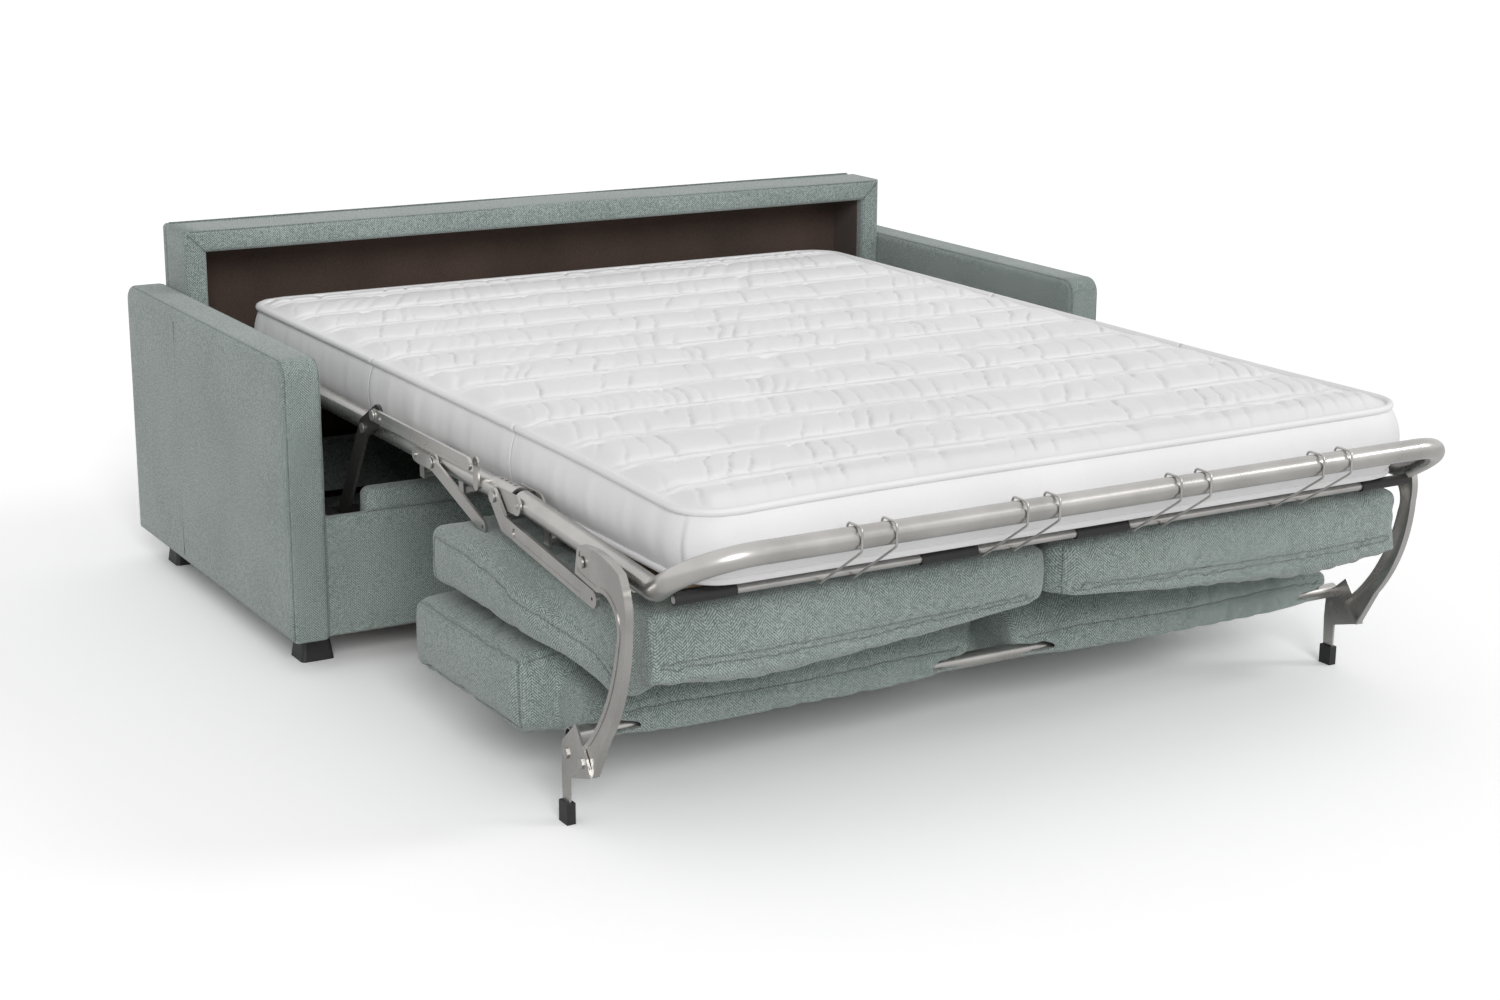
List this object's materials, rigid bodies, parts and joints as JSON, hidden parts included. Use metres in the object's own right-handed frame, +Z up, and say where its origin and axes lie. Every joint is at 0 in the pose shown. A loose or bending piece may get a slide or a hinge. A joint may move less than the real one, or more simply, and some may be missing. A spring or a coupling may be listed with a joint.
{
  "type": "sofa bed",
  "caption": "Upholstered sofa bed shown open, with slim arms, a hollow back, a quilted mattress on a hinged tube frame, and seat and back cushions folded under the foot.",
  "frame": {"origin": "middle of the bounding box on the floor", "axes": "+Z up, -Y towards the foot of the opened bed, X across the sofa"},
  "size_m": [1.92, 2.2483, 0.746],
  "materials": {
    "upholstery": "grey-green twill weave",
    "lining_felt": "dark felt",
    "mattress_cloth": "white quilted satin",
    "silver_steel": "satin silver",
    "bright_steel": "zinc plated",
    "black_steel": "satin black",
    "deck_wire": "satin grey",
    "black_plastic": "moulded matt",
    "board": "plain board"
  },
  "bodies": {
    "sofa_body": {"left_arm": "upholstery", "right_arm": "upholstery", "back_box": "upholstery", "cavity_lining": "lining_felt", "front_panel": "upholstery", "left_side_rail": "upholstery", "right_side_rail": "upholstery", "rear_cross_rail": "upholstery", "base_cloth": "lining_felt", "sofa_feet": "black_plastic", "mechanism_bracket_left": "black_steel", "mechanism_bracket_right": "black_steel"},
    "front_arms": {"front_support_arm_left": "black_steel", "front_support_arm_right": "black_steel", "crank_pins": "bright_steel"},
    "rear_arms": {"rear_support_arm_left": "black_steel", "rear_support_arm_right": "black_steel"},
    "main_section": {"main_frame": "silver_steel", "main_deck_mesh": "deck_wire", "stay_brace_left": "silver_steel", "stay_brace_right": "silver_steel", "support_arm_pins": "bright_steel", "mattress_main": "mattress_cloth", "mattress_rear_fold": "mattress_cloth"},
    "head_section": {"head_frame": "silver_steel", "head_deck_mesh": "deck_wire", "head_hinge_pins": "bright_steel", "mattress_head": "mattress_cloth"},
    "middle_section": {"middle_frame": "silver_steel", "middle_deck_mesh": "deck_wire", "middle_hinge_pins": "bright_steel", "hinge_sleeves": "silver_steel", "link_lugs": "silver_steel", "drive_arm_pins": "bright_steel", "mattress_middle": "mattress_cloth"},
    "foot_section": {"foot_frame": "silver_steel", "foot_deck_mesh": "deck_wire", "foot_hinge_pins": "bright_steel", "seat_rod": "silver_steel", "rod_sleeves": "black_plastic", "wire_hooks": "bright_steel", "seat_board": "board", "seat_cushion_left": "upholstery", "seat_cushion_right": "upholstery", "mattress_foot": "mattress_cloth", "mattress_front_fold": "mattress_cloth", "leg_pivot_pins": "bright_steel"},
    "back_unit": {"curved_leg_left": "silver_steel", "curved_leg_right": "silver_steel", "leg_strut_left": "silver_steel", "leg_strut_right": "silver_steel", "foot_caps": "black_plastic", "backrest_tube": "silver_steel", "leg_bolts": "bright_steel", "back_cushion_left": "upholstery", "back_cushion_right": "upholstery"},
    "upper_links": {"upper_link_left": "silver_steel", "upper_link_right": "silver_steel"},
    "drive_arms": {"drive_arm_left": "silver_steel", "drive_arm_right": "silver_steel"}
  },
  "joints": [
    {"name": "front_arm_swing", "type": "hinge", "parent": "sofa_body", "child": "front_arms", "pos_m": [0, 0.27915, 0.245], "axis": [-1, 0, 0], "range_deg": [0, 12.1]},
    {"name": "rear_arm_swing", "type": "hinge", "parent": "sofa_body", "child": "rear_arms", "pos_m": [0, 0.60915, 0.245], "axis": [-1, 0, 0], "range_deg": [0, 12.1]},
    {"name": "main_level", "type": "hinge", "parent": "front_arms", "child": "main_section", "pos_m": [0, 0.13215, 0.48], "axis": [-1, 0, 0], "range_deg": [-12.1, 0]},
    {"name": "head_tilt", "type": "hinge", "parent": "main_section", "child": "head_section", "pos_m": [0, 0.63415, 0.48], "axis": [1, 0, 0], "range_deg": [0, 6.1]},
    {"name": "middle_fold", "type": "hinge", "parent": "main_section", "child": "middle_section", "pos_m": [0, -0.18085, 0.48], "axis": [-1, 0, 0], "range_deg": [0, 90], "deforming": ["mattress_rear_fold"]},
    {"name": "foot_fold", "type": "hinge", "parent": "middle_section", "child": "foot_section", "pos_m": [0, -0.52385, 0.48], "axis": [-1, 0, 0], "range_deg": [0, 90.1], "deforming": ["mattress_front_fold"]},
    {"name": "back_fold", "type": "hinge", "parent": "foot_section", "child": "back_unit", "pos_m": [0, -0.81385, 0.45938], "axis": [-1, 0, 0], "range_deg": [0, 90.1]},
    {"name": "upper_link_swing", "type": "hinge", "parent": "front_arms", "child": "upper_links", "pos_m": [0, 0.06015, 0.52], "axis": [-1, 0, 0], "range_deg": [0, 17.1]},
    {"name": "drive_arm_swing", "type": "hinge", "parent": "middle_section", "child": "drive_arms", "pos_m": [0, -0.44985, 0.48], "axis": [-1, 0, 0], "range_deg": [0, 78.1]}
  ],
  "couplings": [
    {"joint": "front_arm_swing", "follows": "middle_fold", "ratio": 0.13333},
    {"joint": "rear_arm_swing", "follows": "middle_fold", "ratio": 0.13333},
    {"joint": "main_level", "follows": "middle_fold", "ratio": -0.13333},
    {"joint": "head_tilt", "follows": "middle_fold", "ratio": 0.066667},
    {"joint": "foot_fold", "follows": "middle_fold", "ratio": 1},
    {"joint": "back_fold", "follows": "middle_fold", "ratio": 1},
    {"joint": "upper_link_swing", "follows": "middle_fold", "ratio": 0.18889},
    {"joint": "drive_arm_swing", "follows": "middle_fold", "ratio": 0.86667}
  ]
}
